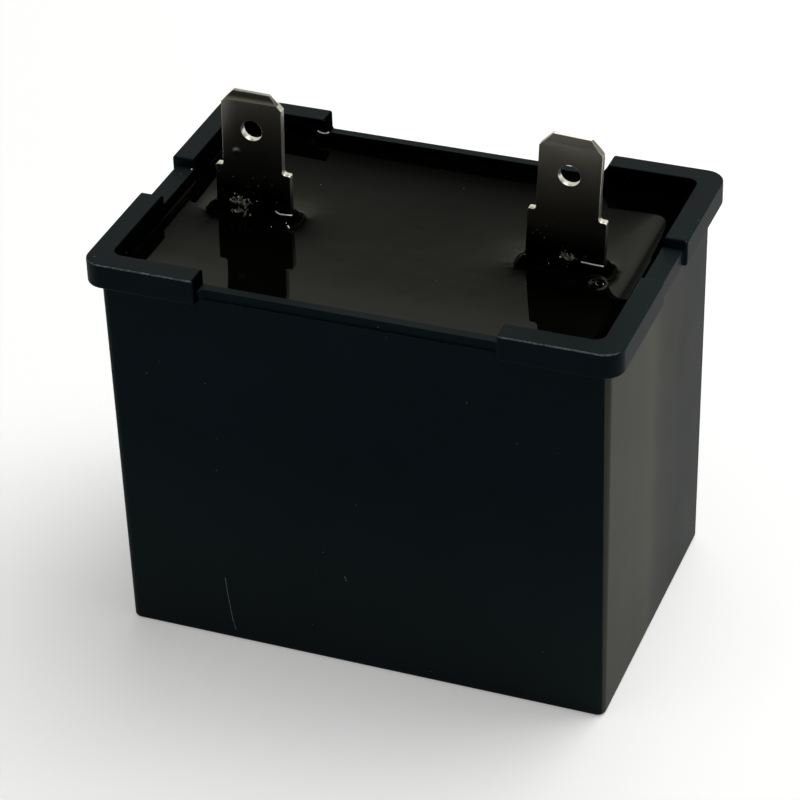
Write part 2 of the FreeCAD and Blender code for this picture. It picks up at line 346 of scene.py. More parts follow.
resin_black, tree, shader, place = new_material(
    "epoxy_resin_cast", IOR=1.32, Specular_IOR_Level=resin_gloss)
clouds = add_node(tree, "ShaderNodeTexNoise", {
    "Vector": place, "Scale": per_mm(cloud_size), "Detail": 4.0})
colour = add_node(tree, "ShaderNodeMix", {
    "Factor": clouds.outputs["Fac"], "A": srgb("#010101"), "B": srgb("#030302")},
    data_type="RGBA")
haze = add_node(tree, "ShaderNodeTexNoise", {
    "Vector": place, "Scale": per_mm(haze_size), "Detail": 5.0})
gloss = add_node(tree, "ShaderNodeMapRange", {
    "Value": haze.outputs["Fac"], "From Min": haze_low, "From Max": haze_high,
    "To Min": resin_rough_low, "To Max": resin_rough_high})
ripple = add_node(tree, "ShaderNodeTexNoise", {
    "Vector": place, "Scale": per_mm(ripple_size), "Detail": 1.0})
skin = add_node(tree, "ShaderNodeBump", {
    "Height": ripple.outputs["Fac"], "Distance": ripple_depth * MM})
facing = add_node(tree, "ShaderNodeSeparateXYZ", {
    "Vector": add_node(tree, "ShaderNodeNewGeometry").outputs["Normal"]})
crept = add_node(tree, "ShaderNodeMapRange", {
    "Value": facing.outputs["Z"], "From Min": level_facing, "From Max": crept_facing,
    "To Min": resin_gloss, "To Max": crept_gloss})
from_bubble = add_node(tree, "ShaderNodeVectorMath", {
    0: place, 1: tuple(c * MM for c in bubble_place)}, operation="DISTANCE").outputs["Value"]
off_bubble = add_node(tree, "ShaderNodeMapRange", {
    "Value": from_bubble, "From Min": bubble_shine * MM, "From Max": bubble_shine_end * MM})
level = add_node(tree, "ShaderNodeMix", {
    "Factor": off_bubble.outputs["Result"], "A": resin_gloss, "B": crept.outputs["Result"]})
tree.links.new(level.outputs["Result"], shader.inputs["Specular IOR Level"])
tree.links.new(colour.outputs["Result"], shader.inputs["Base Color"])
tree.links.new(gloss.outputs["Result"], shader.inputs["Roughness"])
tree.links.new(skin.outputs["Normal"], shader.inputs["Normal"])
print(resin_black.name, "nodes", len(tree.nodes))

# %% [markdown]
# ## Terminals: rolled brass, plated with tin
# The tabs are stamped from rolled strip and tinned. Tin is a grey metal with a slight warmth, and
# the rolls leave fine lines along the strip, which here runs up the tab. Noise stretched upwards
# gives those lines both to the roughness and to a shallow bump, and a slower noise lets the
# plating vary in tone. The broad faces get a painted shade, darker than the cut edges, for the
# dark room they mirror, so they are told apart by the way they face, and the left tab gets the
# darker shade.

# %% Tinned brass
roll_line, roll_squeeze = 0.12, 0.03
tone_size = 2.5
tin_rough_low, tin_rough_high = 0.28, 0.34
broad_starts, broad_full = 0.75, 0.97

tinned_brass, tree, shader, place = new_material("brass_rolled_tinned", Metallic=1.0)
along = add_node(tree, "ShaderNodeMapping", {
    "Vector": place, "Scale": (1.0, 1.0, roll_squeeze)})
lines = add_node(tree, "ShaderNodeTexNoise", {
    "Vector": along.outputs["Vector"], "Scale": per_mm(roll_line), "Detail": 3.0})
tone = add_node(tree, "ShaderNodeTexNoise", {
    "Vector": place, "Scale": per_mm(tone_size), "Detail": 3.0})
colour = add_node(tree, "ShaderNodeMix", {
    "Factor": tone.outputs["Fac"], "A": srgb("#cdcabd"), "B": srgb("#e6e3d9")},
    data_type="RGBA")
gloss = add_node(tree, "ShaderNodeMapRange", {
    "Value": lines.outputs["Fac"], "To Min": tin_rough_low, "To Max": tin_rough_high})
spot = add_node(tree, "ShaderNodeSeparateXYZ", {"Vector": place})
on_left = add_node(tree, "ShaderNodeMath", {
    0: spot.outputs["X"], 1: 0.0}, operation="LESS_THAN")
facing = add_node(tree, "ShaderNodeSeparateXYZ", {
    "Vector": add_node(tree, "ShaderNodeNewGeometry").outputs["Normal"]})
across = add_node(tree, "ShaderNodeMath", {0: facing.outputs["Y"]}, operation="ABSOLUTE")
broad = add_node(tree, "ShaderNodeMapRange", {
    "Value": across.outputs[0], "From Min": broad_starts, "From Max": broad_full})
# painted shade: broad faces darker, the left tab darker still
broad_shade = add_node(tree, "ShaderNodeMix", {
    "Factor": on_left.outputs[0], "A": srgb("#7c7970"), "B": srgb("#62605a")},
    data_type="RGBA")
shaded_broad = add_node(tree, "ShaderNodeMix", {
    "Factor": broad.outputs["Result"], "A": colour.outputs["Result"],
    "B": broad_shade.outputs["Result"]}, data_type="RGBA")
print("rolled lines", roll_line, "mm, roughness", tin_rough_low, "to", tin_rough_high)

# %% [markdown]
# The foot of each tab is made nearly black. It fades upwards from the collar, so a smooth ramp
# of the height mixes it in.

# %% Darker towards the foot
dark_low, dark_high, dark_most = 42.6, 45.6, 0.96

foot_dark = add_node(tree, "ShaderNodeMapRange", {
    "Value": spot.outputs["Z"], "From Min": dark_high * MM, "From Max": dark_low * MM,
    "To Max": dark_most}, interpolation_type="SMOOTHSTEP")
foot_darkened = add_node(tree, "ShaderNodeMix", {
    "Factor": foot_dark.outputs["Result"], "A": shaded_broad.outputs["Result"], "B": srgb("#060605")},
    data_type="RGBA")
print("wet up to", dark_high, "mm")

# %% [markdown]
# A stamped tab is never quite flat, and polished metal shows it: the light on it depends on
# bends far too slight to model. So they are written as one height, in metres, that tilts the
# normal: each tab leans back by about five degrees, its narrow top and shoulder faces lean
# their own way, and the left tab's tip bends back and its left edge curls.

# %% Slight bends of the tabs, as a bump
tilt_left, tilt_right = 0.085, 0.108
level_least = 0.5
shoulder_slope, top_slope, chamfer_slope = -0.07, 0.30, 0.95
chamfer_facing, top_facing = 0.75, 0.95
reach_left, reach_right = 0.12, 0.5
tip_low, tip_high, tip_fall, tip_power = 53.3, 54.3, 0.45, 1.35
curl_start, curl_end, curl_depth, curl_power = -17.3, -19.6, 0.20, 2.0

tilt = add_node(tree, "ShaderNodeMix", {
    "Factor": on_left.outputs[0], "A": tilt_right, "B": tilt_left})
tilted = add_node(tree, "ShaderNodeMath", {
    0: spot.outputs["Z"], 1: tilt.outputs["Result"]}, operation="MULTIPLY")
level_face = add_node(tree, "ShaderNodeMath", {
    0: facing.outputs["Z"], 1: level_least}, operation="GREATER_THAN")
at_top = add_node(tree, "ShaderNodeMath", {
    0: spot.outputs["Z"], 1: tip_low * MM}, operation="GREATER_THAN")
top_lean = add_node(tree, "ShaderNodeMapRange", {
    "Value": facing.outputs["Z"], "From Min": chamfer_facing, "From Max": top_facing,
    "To Min": chamfer_slope, "To Max": top_slope})
lean = add_node(tree, "ShaderNodeMix", {
    "Factor": at_top.outputs[0], "A": shoulder_slope, "B": top_lean.outputs["Result"]})
reach = add_node(tree, "ShaderNodeMix", {
    "Factor": on_left.outputs[0], "A": reach_right * MM, "B": reach_left * MM})
front_part = add_node(tree, "ShaderNodeMath", {
    0: spot.outputs["Y"], 1: reach.outputs["Result"]}, operation="MINIMUM")
leaned = add_node(tree, "ShaderNodeMath", {
    0: front_part.outputs[0], 1: lean.outputs["Result"]}, operation="MULTIPLY")
level_lean = add_node(tree, "ShaderNodeMath", {
    0: leaned.outputs[0], 1: level_face.outputs[0]}, operation="MULTIPLY")
tip_part = add_node(tree, "ShaderNodeMapRange", {
    "Value": spot.outputs["Z"], "From Min": tip_low * MM, "From Max": tip_high * MM})
tip_curve = add_node(tree, "ShaderNodeMath", {
    0: tip_part.outputs["Result"], 1: tip_power}, operation="POWER")
tip_bend = add_node(tree, "ShaderNodeMath", {
    0: tip_curve.outputs[0], 1: -tip_fall * MM}, operation="MULTIPLY")
curl_part = add_node(tree, "ShaderNodeMapRange", {
    "Value": spot.outputs["X"], "From Min": curl_start * MM, "From Max": curl_end * MM})
curl_curve = add_node(tree, "ShaderNodeMath", {
    0: curl_part.outputs["Result"], 1: curl_power}, operation="POWER")
curled = add_node(tree, "ShaderNodeMath", {
    0: curl_curve.outputs[0], 1: -curl_depth * MM, 2: tip_bend.outputs[0]},
    operation="MULTIPLY_ADD")
left_bends = add_node(tree, "ShaderNodeMath", {
    0: curled.outputs[0], 1: on_left.outputs[0]}, operation="MULTIPLY")
both_bends = add_node(tree, "ShaderNodeMath", {0: tilted.outputs[0], 1: level_lean.outputs[0]})
form = add_node(tree, "ShaderNodeMath", {0: both_bends.outputs[0], 1: left_bends.outputs[0]})
form_bump = add_node(tree, "ShaderNodeBump", {"Height": form.outputs[0], "Distance": 1.0})
print("tilt of the tabs", tilt_left, "and", tilt_right)

# %% [markdown]
# The left tab has a small dimple low on its left, where the stamping tool held it, and every
# stamped face swells a little. Bumps add up when each one takes the normal of the last.

# %% The dimple, the swell and the rolled lines
dimple_place, dimple_size, dimple_height = (-17.86, -0.4, 47.60), 0.30, 0.11
swell_size, swell_depth = 4.0, 0.02
line_depth = 0.001

from_dimple = add_node(tree, "ShaderNodeVectorMath", {
    0: place, 1: tuple(c * MM for c in dimple_place)}, operation="DISTANCE").outputs["Value"]
dimple = add_node(tree, "ShaderNodeMapRange", {
    "Value": from_dimple, "From Min": 0.0, "From Max": 2 * dimple_size * MM,
    "To Min": 1.0, "To Max": 0.0}, interpolation_type="SMOOTHSTEP")
dimple_bump = add_node(tree, "ShaderNodeBump", {
    "Height": dimple.outputs["Result"], "Distance": dimple_height * MM,
    "Normal": form_bump.outputs["Normal"]})
swell = add_node(tree, "ShaderNodeTexNoise", {
    "Vector": place, "Scale": per_mm(swell_size), "Detail": 1.0})
swell_bump = add_node(tree, "ShaderNodeBump", {
    "Height": swell.outputs["Fac"], "Distance": swell_depth * MM,
    "Normal": dimple_bump.outputs["Normal"]})
line_bump = add_node(tree, "ShaderNodeBump", {
    "Height": lines.outputs["Fac"], "Distance": line_depth * MM,
    "Normal": swell_bump.outputs["Normal"]})
tree.links.new(foot_darkened.outputs["Result"], shader.inputs["Base Color"])
tree.links.new(gloss.outputs["Result"], shader.inputs["Roughness"])
tree.links.new(line_bump.outputs["Normal"], shader.inputs["Normal"])
print(tinned_brass.name, "nodes", len(tree.nodes))


# %% [markdown]
# ## What the resin hides
# The film winding, the sprayed zinc on its ends, the leads and their solder are all under the
# resin. They still get finishes, because the part can be shown cut open. The film is wound in
# layers, so its ends show fine rings and its sides are smooth silver. Sprayed zinc is a grey
# matte crust of frozen droplets. The wire is drawn and tinned, and solder freezes bright with
# a slightly lumpy skin.

# %% Hidden finishes
def grained_metal(name, dark, light, grain_mm, depth_mm, rough, metallic=1.0,
                  stretch=(1.0, 1.0, 1.0)):
    """Metal whose tone, roughness and bump all follow one noise of a given grain."""
    material, tree, shader, place = new_material(name, Metallic=metallic)
    turned = add_node(tree, "ShaderNodeMapping", {"Vector": place, "Scale": stretch})
    texture = add_node(tree, "ShaderNodeTexNoise", {
        "Vector": turned.outputs["Vector"], "Scale": per_mm(grain_mm), "Detail": 4.0})
    colour = add_node(tree, "ShaderNodeMix", {
        "Factor": texture.outputs["Fac"], "A": srgb(dark), "B": srgb(light)}, data_type="RGBA")
    gloss = add_node(tree, "ShaderNodeMapRange", {
        "Value": texture.outputs["Fac"], "To Min": rough[0], "To Max": rough[1]})
    bump = add_node(tree, "ShaderNodeBump", {
        "Height": texture.outputs["Fac"], "Distance": depth_mm * MM})
    tree.links.new(colour.outputs["Result"], shader.inputs["Base Color"])
    tree.links.new(gloss.outputs["Result"], shader.inputs["Roughness"])
    tree.links.new(bump.outputs["Normal"], shader.inputs["Normal"])
    return material


metallised_film = grained_metal("polypropylene_film_metallised", "#8e9092", "#b9bbbc", 0.3, 0.01,
                                (0.18, 0.35), 0.8, (0.05, 1.0, 1.0))
sprayed_zinc = grained_metal("zinc_flame_sprayed", "#6f7173", "#9b9d9e", 0.25, 0.06, (0.6, 0.85))
tinned_wire = grained_metal("copper_wire_tinned", "#a5a49c", "#c9c8c0", 0.15, 0.004,
                            (0.2, 0.35), 1.0, (0.2, 1.0, 0.2))
solder = grained_metal("tin_solder_reflowed", "#a3a39f", "#cfcfca", 0.5, 0.03, (0.15, 0.4))

print("hidden finishes made")

# %% Assign the finishes to the CAD nodes that stay
finishes = {
    "film_winding": metallised_film,
    "end_spray_left": sprayed_zinc, "end_spray_right": sprayed_zinc,
    "lead_left": tinned_wire, "lead_right": tinned_wire,
    "terminal_solder_left": solder, "terminal_solder_right": solder,
    "spray_solder_left": solder, "spray_solder_right": solder,
}
for name, material in finishes.items():
    for slot in nodes[name].material_slots:
        slot.material = material
print("finished", len(finishes), "hidden nodes")


# %% [markdown]
# ## Edges that catch the light
# No moulded or stamped edge is a knife edge. The CAD case and tabs have sharp arrises at the
# gaps, on the parting line and round the hole, and a render shows that at once. One could model
# each edge again, but the Bevel modifier rounds them all from the CAD shape itself. The CAD mesh
# is loose triangles, so a copy is merged first, and its flat faces are joined.

# %% Round the sharp edges of a copy of a CAD node
def plain_mesh(piece):
    """Replaces a piece's mesh by the one its modifiers make, and removes them."""
    graph = bpy.context.evaluated_depsgraph_get()
    mesh = bpy.data.meshes.new_from_object(piece.evaluated_get(graph))
    piece.modifiers.clear()
    piece.data = mesh
    mesh.name = piece.name


def link_object(name, mesh, material):
    """A piece in the scene with one material."""
    piece = bpy.data.objects.new(name, mesh)
    mesh.materials.clear()
    mesh.materials.append(material)
    bpy.context.scene.collection.objects.link(piece)
    return piece


def open_edges(mesh):
    """Number of edges that don't have exactly two faces: 0 on a closed mesh."""
    shape = bmesh.new()
    shape.from_mesh(mesh)
    count = sum(1 for edge in shape.edges if len(edge.link_faces) != 2)
    shape.free()
    return count


def mark_rounded(mesh):
    """Writes 1 on the faces that the bevel made and 0 on the others, and leaves one material."""
    strips = [float(face.material_index == 1) for face in mesh.polygons]
    mark = mesh.attributes.new("rounded", "FLOAT", "FACE")
    mark.data.foreach_set("value", strips)
    mesh.polygons.foreach_set("material_index", [0] * len(mesh.polygons))
    mesh.materials.pop(index=1)


merge_gap = 0.002
flat_angle, sharp_angle = math.radians(0.3), math.radians(28)


def edge_rounded_copy(node, name, material, radius, steps):
    """A merged copy of a CAD node with its sharp edges rounded, in a few steps."""
    shape = bmesh.new()
    shape.from_mesh(nodes[node].data)
    bmesh.ops.remove_doubles(shape, verts=shape.verts, dist=merge_gap * MM)
    bmesh.ops.dissolve_limit(shape, angle_limit=flat_angle, verts=shape.verts, edges=shape.edges)
    mesh = bpy.data.meshes.new(name)
    shape.to_mesh(mesh)
    shape.free()
    for face in mesh.polygons:
        face.use_smooth = True
    piece = link_object(name, mesh, material)
    bevel = piece.modifiers.new("edges", "BEVEL")
    bevel.width = radius * MM
    bevel.segments = steps
    bevel.limit_method = "ANGLE"
    bevel.angle_limit = sharp_angle
    mesh.materials.append(material)
    bevel.material = 1
    flat = piece.modifiers.new("normals", "WEIGHTED_NORMAL")
    flat.weight = 100
    flat.keep_sharp = True
    plain_mesh(piece)
    mark_rounded(piece.data)
    print(name, "faces", len(piece.data.polygons), "open edges", open_edges(piece.data))
    return piece


case_rounding, tab_rounding, rounding_steps = 0.10, 0.045, 2
moulded_case = edge_rounded_copy(
    "case", "moulded_case", case_plastic, case_rounding, rounding_steps)
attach(moulded_case, "root")
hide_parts("case")

# %% [markdown]
# The tabs are rounded the same way, with a smaller radius. The right tab's tip is bevelled on
# the CAD shape, but in the light it reads as one flat face, so its normals are set to that.

# %% The two tabs
broad_least = 0.9
tip_flat_from = 53.0


def shade_tip_flat(mesh, low):
    """Gives the faces of a tip the normal of the broad face below them, so that no bend shows."""
    normals = [corner.vector.copy() for corner in mesh.corner_normals]
    for face in mesh.polygons:
        if abs(face.normal.y) > broad_least and face.center.z > low * MM:
            for corner in face.loop_indices:
                normals[corner] = Vector((0, math.copysign(1, face.normal.y), 0))
    mesh.normals_split_custom_set(normals)


for side in ("left", "right"):
    tab = edge_rounded_copy(
        "terminal_" + side, "tab_" + side, tinned_brass, tab_rounding, rounding_steps)
    if side == "right":
        shade_tip_flat(tab.data, tip_flat_from)
    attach(tab, "root")
    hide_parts("terminal_" + side)

# %% [markdown]
# ## The resin's surface
# The resin wets everything it touches, so its surface is flat only far from the walls and the
# tabs. It climbs them in a curve that dies away within a millimetre or two, and it stays higher
# and lumpier round the tabs, where it was dabbed on. A fluid simulation could find this, but the
# height of the surface can be written down directly as a sum: a level, a climb at the walls, a
# collar round each tab, a few lumps, and waves too slow to see except in the reflections.

# %% Sizes of the resin, from the CAD node
resin_low, resin_high = (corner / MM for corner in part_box("potting_resin"))
resin_level = 40.4
wall_bite = 0.03
half_length = resin_high.x + wall_bite
half_width = resin_high.y + wall_bite
corner_radius = 1.0
print("resin", round(2 * half_length, 2), "x", round(2 * half_width, 2), "mm, level", resin_level)
tab_centre = {"left": -16.4, "right": 15.9}
tab_half_width = 3.95
tab_half_thickness = 0.4


# %% Distances that the resin answers to
# Each wall: which way it lies, how far its climb reaches, and how high it is at the wall.
bowl = (0.0009, 0.0014)
wall_rises = (((0, 1), 1.6, 0.34), ((0, -1), 2.0, 0.08), ((1, 0), 1.3, 1.25),
              ((-1, 0), 2.0, 0.08))


def slow_noise(x, y, size, seed):
    """Smooth noise between -1 and 1 with features of a size in millimetres."""
    places = np.stack([x.ravel() / size, y.ravel() / size], 1)
    values = [noise.noise((a, b, seed)) for a, b in places]
    return np.array(values).reshape(x.shape)


def wall_distance(x, y):
    """Distance to the nearest wall of the cavity, which has round corners."""
    across = np.abs(x) - (half_length - corner_radius)
    along = np.abs(y) - (half_width - corner_radius)
    outside = np.hypot(np.maximum(across, 0), np.maximum(along, 0))
    inside = np.minimum(np.maximum(across, along), 0)
    return np.maximum(corner_radius - outside - inside, 0)


def wide_climb(x, y):
    """The slow rise towards the walls: a shallow bowl, and each wall's own climb."""
    rise = 0.5 * bowl[0] * x ** 2 + 0.5 * bowl[1] * y ** 2
    for side, reach, height in wall_rises:
        gap = half_length - side[0] * x if side[0] else half_width - side[1] * y
        rise = rise + height * np.exp(-gap / reach)
    return rise


print("climbs at", len(wall_rises), "walls")

# %% [markdown]
# Round each tab the resin stands up in a rounded collar, because it was dabbed on there after the
# pour. The collar's height along the tab is given by a few points that are smoothed, and its
# section is a bell with a flat top. Its left part is lumpy, as dabbed resin is, and its right
# part runs out evenly.

# %% Collars round the tabs
collar_heights = {
    "left": ((-6.0, 0.15), (-4.9, 0.5), (-4.1, 1.15), (-3.0, 1.0), (-1.7, 1.2), (-0.6, 1.05),
             (0.6, 1.0), (1.6, 1.02), (2.3, 1.26), (2.7, 1.17), (4.3, 0.93), (4.8, 0.7),
             (6.0, 0.3)),
    "right": ((-6.0, 0.1), (-4.9, 0.3), (-4.1, 0.9), (-3.2, 0.95), (-2.2, 1.2), (-1.2, 1.0),
              (-0.2, 1.3), (0.6, 1.05), (1.55, 1.40), (1.8, 1.37), (4.3, 1.08), (4.8, 0.8),
              (6.0, 0.3)),
}
collar_width, width_lumps, top_lumps = 0.70, 0.22, 0.10
skirt_height, skirt_reach = 0.10, 1.8
lumpy_end = 0.8


def smooth_profile(points, u):
    """Height at u from a few points, with their corners smoothed over 0.35 mm."""
    fine = np.arange(-8, 8, 0.05)
    heights = np.interp(fine, [p[0] for p in points], [p[1] for p in points])
    window = np.hanning(9)
    smooth = np.convolve(np.pad(heights, 4, mode="edge"), window / window.sum(), mode="valid")
    return np.interp(u, fine, smooth)


def collar(x, y, side, seed):
    """Resin that stands up round a tab."""
    u = x - tab_centre[side]
    across = np.maximum(np.abs(u) - tab_half_width, 0)
    along = np.maximum(np.abs(y) - tab_half_thickness, 0)
    distance = np.hypot(across, along)
    lumpy = np.clip((lumpy_end - u) / lumpy_end, 0, 1)
    width = collar_width * (1 + width_lumps * lumpy * slow_noise(x, y, 0.9, seed))
    lumps = 1 + top_lumps * lumpy * slow_noise(x, y, 0.55, seed + 4)
    top = smooth_profile(collar_heights[side], u) * lumps
    return top / (1 + (distance / width) ** 4) + skirt_height * np.exp(-distance / skirt_reach)


print("collars up to", max(p[1] for points in collar_heights.values() for p in points), "mm")

# %% [markdown]
# The whole height is a sum. The climb at the walls is higher at the two notches of the short
# sides, three small lumps lie where drops fell, and a bubble that burst beside the right tab
# left a low ring with a hollow in it.

# %% Height of the resin at a place
wall_climb, climb_reach = 0.14, 0.28
notch_climb, notch_reach = 0.6, 3.9
swell_height, swell_length = 0.016, 11.0
resin_lumps = [((-16.7, 15.3), 0.5, 0.5), ((-12.3, -1.9), 0.3, 0.2), ((-14.1, -1.7), 0.2, 0.12)]
bubble_radius, bubble_wall, bubble_height, bubble_hollow = 0.85, 0.20, 0.16, 0.8


def lump(x, y, centre, radius, height):
    """A round lump that dies away."""
    return height * np.exp(-((x - centre[0]) ** 2 + (y - centre[1]) ** 2) / radius ** 2)


def resin_height(x, y):
    """Height of the resin in millimetres above the part's underside."""
    distance = wall_distance(x, y)
    climb = 1 + 0.25 * slow_noise(x, y, 3.0, 3.5) + 0.06 * slow_noise(x, y, 0.8, 6.5)
    notch = 1 + notch_climb * np.exp(-(y / notch_reach) ** 4)
    z = resin_level + wall_climb * climb * notch * np.exp(-distance / climb_reach)
    z += wide_climb(x, y)
    z += swell_height * slow_noise(x, y, swell_length, 8.1)
    for side, seed in (("left", 1.7), ("right", 5.2)):
        z += collar(x, y, side, seed)
    for centre, radius, height in resin_lumps:
        z += lump(x, y, centre, radius, height)
    ring = np.hypot(x - bubble_place[0], y - bubble_place[1])
    z += bubble_height * np.exp(-((ring - bubble_radius) / bubble_wall) ** 2)
    z -= bubble_hollow * bubble_height * np.exp(-(ring / bubble_radius) ** 4)
    return z


# %% A grid that is finer round the tabs and beside the walls
def spaced(half, fine_zones, fine, coarse, edge_zone, edge):
    """Grid lines from -half to half, closer in the fine zones and beside the walls."""
    lines = [-half]
    while lines[-1] < half:
        at = lines[-1]
        step = coarse
        if half - abs(at) < edge_zone:
            step = edge
        if any(low <= at <= high for low, high in fine_zones):
            step = fine
        lines.append(at + step)
    lines = np.array(lines)
    return lines * (2 * half) / (lines[-1] + half) + half * (2 * half / (lines[-1] + half) - 1)


grid = {"coarse": 0.24, "edge_zone": 1.8, "edge": 0.12}
lines_x = spaced(half_length, ((-21.6, -11.2), (10.7, 21.2)), fine=0.085, **grid)
lines_y = spaced(half_width, ((-3.4, 1.8),), fine=0.07, **grid)
columns, rows = len(lines_x) - 1, len(lines_y) - 1
grid_x, grid_y = np.meshgrid(lines_x, lines_y)
grid_z = resin_height(grid_x, grid_y)
print("resin grid", columns, "x", rows, "up to", round(grid_z.max(), 2), "mm")

# %% Close the surface with sides and a bottom
top_points = np.stack([grid_x, grid_y, grid_z], 2).reshape(-1, 3)
index = np.arange((rows + 1) * (columns + 1)).reshape(rows + 1, columns + 1)
top_faces = np.stack(
    [index[:-1, :-1], index[:-1, 1:], index[1:, 1:], index[1:, :-1]], 2).reshape(-1, 4)
border = np.concatenate([index[0, :-1], index[:-1, -1], index[-1, :0:-1], index[:0:-1, 0]])
foot_points = top_points[border].copy()
foot_points[:, 2] = resin_low.z
foot = len(top_points) + np.arange(len(border))
side_faces = np.stack([border, foot, np.roll(foot, -1), np.roll(border, -1)], 1)
resin_mesh = bpy.data.meshes.new("resin_fill")
resin_mesh.from_pydata((np.concatenate([top_points, foot_points]) * MM).tolist(), [],
                       top_faces.tolist() + side_faces.tolist() + [foot[::-1].tolist()])
resin_mesh.update()
resin_mesh.polygons.foreach_set("use_smooth", [True] * len(resin_mesh.polygons))
resin_mesh.set_sharp_from_angle(angle=math.radians(60))
resin_fill = link_object("resin_fill", resin_mesh, resin_black)
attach(resin_fill, "root")
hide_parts("potting_resin")
print("resin_fill faces", len(resin_mesh.polygons), "open edges", open_edges(resin_mesh))

# %% [markdown]
# ## Painted glints, crumbs and marks
# Thin white lines along the collars, a bead in the burst bubble, a few specks and short dashes on
# the resin and a short line on the drop at the back wall are painted glints: matte white beads
# that stand in for the light that the glossy resin reflects there. Grey crumbs of cured resin lie
# in heaps at the tabs' feet, and finer spatter sticks to the tabs. A line is a curve with a round
# bevel, turned into a mesh. Each grain of a heap is a small ball that noise pushes in and out,
# because a smooth ball would look like a drop.

# %% Finishes of the painted glints, the crumbs and the dust
def mottled(name, dark, light, grain_mm, rough):
    """Matte material whose tone follows one noise of a given grain."""
    material, tree, shader, place = new_material(name, Specular_IOR_Level=0.3)
    texture = add_node(tree, "ShaderNodeTexNoise", {
        "Vector": place, "Scale": per_mm(grain_mm), "Detail": 3.0})
    steep = add_node(tree, "ShaderNodeMapRange", {
        "Value": texture.outputs["Fac"], "From Min": 0.38, "From Max": 0.62})
    colour = add_node(tree, "ShaderNodeMix", {
        "Factor": steep.outputs["Result"], "A": srgb(dark), "B": srgb(light)}, data_type="RGBA")
    gloss = add_node(tree, "ShaderNodeMapRange", {
        "Value": texture.outputs["Fac"], "To Min": rough[0], "To Max": rough[1]})
    tree.links.new(colour.outputs["Result"], shader.inputs["Base Color"])
    tree.links.new(gloss.outputs["Result"], shader.inputs["Roughness"])
    return material


# painted glints: near-white matte beads that stand in for highlights on the resin
glint_white = mottled("painted_glint_white", "#f2f0ea", "#fdfcf8", 0.4, (0.3, 0.5))
resin_crumb = mottled("epoxy_resin_crumbled", "#33332e", "#b4b4a8", 0.25, (0.75, 0.95))
# lint grey, for dust and marks, and for the painted line round the bubble
lint_and_glint = mottled("textile_lint_and_glint", "#5e5e5a", "#a9a9a2", 0.2, (0.8, 0.95))
print("finishes:", glint_white.name, resin_crumb.name, lint_and_glint.name)


# %% Lines and grains
def link_mesh_of(shape, name, material):
    """Makes a piece of a bmesh: doubles merged, normals outward."""
    bmesh.ops.remove_doubles(shape, verts=shape.verts, dist=0.0005 * MM)
    bmesh.ops.recalc_face_normals(shape, faces=shape.faces)
    for face in shape.faces:
        face.smooth = True
    mesh = bpy.data.meshes.new(name)
    shape.to_mesh(mesh)
    shape.free()
    piece = link_object(name, mesh, material)
    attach(piece, "root")
    print(name, "faces", len(mesh.polygons), "open edges", open_edges(mesh))


def fine_lines(name, lines, radius, material):
    """Round beads along runs of points, all in one piece."""
    curve = bpy.data.curves.new(name, "CURVE")
    curve.dimensions = "3D"
    curve.bevel_depth = radius * MM
    curve.bevel_resolution = 2
    curve.use_fill_caps = True
    for points in lines:
        run = curve.splines.new("POLY")
        run.points.add(len(points) - 1)
        for knot, place in zip(run.points, points):
            knot.co = (place[0] * MM, place[1] * MM, place[2] * MM, 1.0)
    holder = bpy.data.objects.new(name, curve)
    bpy.context.scene.collection.objects.link(holder)
    graph = bpy.context.evaluated_depsgraph_get()
    shape = bmesh.new()
    shape.from_mesh(bpy.data.meshes.new_from_object(holder.evaluated_get(graph)))
    bpy.data.objects.remove(holder)
    bpy.data.curves.remove(curve)
    link_mesh_of(shape, name, material)


def crumbs(name, heaps, material):
    """Heaps of grains, each given by its centre, three half sizes, a count and a grain radius.
    A heap with no half size across lies on the collar's front, as low as the collar is there."""
    shape = bmesh.new()
    for centre, halves, count, radius in heaps:
        for _ in range(count):
            offset = Vector([dice.gauss(0, heap_spread) for _ in range(3)])
            above = centre[2] + halves[2] * offset.z - resin_level
            if halves[1] == 0 and above < collar_rise:
                offset.y = 1.0
                down = collar_width * (collar_rise / max(above, lowest_grain) - 1) ** 0.25
                middle = (centre[0], -tab_half_thickness - down, centre[2])
            else:
                middle = centre
            grain = radius * dice.uniform(0.5, 1.3)
            seed = Vector((dice.uniform(0, 50), 0, 0))
            for point in bmesh.ops.create_icosphere(shape, subdivisions=2, radius=1.0)["verts"]:
                push = grain * (1 + grain_lumps * noise.noise(point.co * 1.5 + seed))
                point.co = Vector([(c + h * o + push * v) * MM
                                   for c, h, o, v in zip(middle, halves, offset, point.co)])
    link_mesh_of(shape, name, material)


dice = random.Random(4)
collar_rise, lowest_grain = 1.15, 0.3
heap_spread, grain_lumps = 0.45, 0.45

